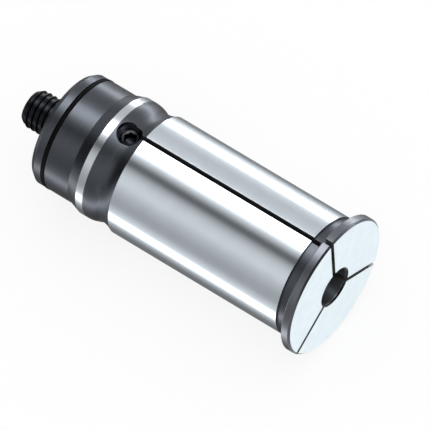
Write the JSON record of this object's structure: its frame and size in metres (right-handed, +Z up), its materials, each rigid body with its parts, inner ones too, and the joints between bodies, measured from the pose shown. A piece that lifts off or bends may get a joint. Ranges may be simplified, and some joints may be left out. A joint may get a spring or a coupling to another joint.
{
  "type": "straight collet",
  "caption": "Straight cylindrical collet for a milling chuck, with a flanged nose, lengthwise slots, spring jaws and an adjustable rear stop screw.",
  "frame": {"origin": "on the collet's axis, in the plane of the flange's seat, which is the flange's rear face", "axes": "+X along the axis, out of the chuck, from the rear screw to the slotted front face; +Z up through the slot beside the lock screw; +Y to the left of someone who looks along +X"},
  "size_m": [0.0902, 0.037, 0.037],
  "materials": {
    "black_oxide_steel": "turned, hardened and black oxide coated, with one ground land",
    "ground_steel": "hardened and cylindrically ground, with black oxide left in the undercut and on the flange's rim",
    "nitrile_rubber": "moulded, smooth",
    "screw_steel": "rolled thread, black oxide",
    "brass": "turned"
  },
  "bodies": {
    "sleeve": {"rear_sleeve": "black_oxide_steel", "seal_ring": "nitrile_rubber"},
    "jaw_right": {"jaw_right": "ground_steel"},
    "jaw_lower": {"jaw_lower": "ground_steel"},
    "jaw_left": {"jaw_left": "ground_steel"},
    "adjusting_screw": {"adjusting_screw": "screw_steel"},
    "lock_pad": {"lock_pad": "brass"},
    "lock_screw": {"lock_screw": "screw_steel"}
  },
  "joints": [
    {"name": "jaw_lower_flex", "type": "hinge", "parent": "sleeve", "child": "jaw_lower", "pos_m": [-0.05295, 0, -0.0035], "axis": [0, -1, 0], "range_deg": [0, 0.3], "stiffness_Nm_per_rad": 20, "springref_deg": -1.15},
    {"name": "jaw_right_flex", "type": "hinge", "parent": "sleeve", "child": "jaw_right", "pos_m": [-0.05295, -0.00303, 0.00175], "axis": [0, 0.5, 0.866], "range_deg": [0, 0.3], "stiffness_Nm_per_rad": 20, "springref_deg": -1.15},
    {"name": "jaw_left_flex", "type": "hinge", "parent": "sleeve", "child": "jaw_left", "pos_m": [-0.05295, 0.00303, 0.00175], "axis": [0, 0.5, -0.866], "range_deg": [0, 0.3], "stiffness_Nm_per_rad": 20, "springref_deg": -1.15},
    {"name": "adjusting_screw_travel", "type": "slide", "parent": "sleeve", "child": "adjusting_screw", "axis": [1, 0, 0], "range_m": [-0.002, 0.01]},
    {"name": "lock_pad_travel", "type": "slide", "parent": "sleeve", "child": "lock_pad", "axis": [0, -0.0436, 0.999], "range_m": [0, 0.001]},
    {"name": "lock_screw_turn", "type": "hinge", "parent": "lock_pad", "child": "lock_screw", "pos_m": [-0.057, -0.00048, 0.01099], "axis": [0, -0.0436, 0.999], "range_deg": [0, 360]}
  ],
  "couplings": [
    {"joint": "jaw_right_flex", "follows": "jaw_lower_flex", "ratio": 1},
    {"joint": "jaw_left_flex", "follows": "jaw_lower_flex", "ratio": 1},
    {"joint": "lock_screw_turn", "follows": "lock_pad_travel", "rad_per_m": 6283.2}
  ]
}
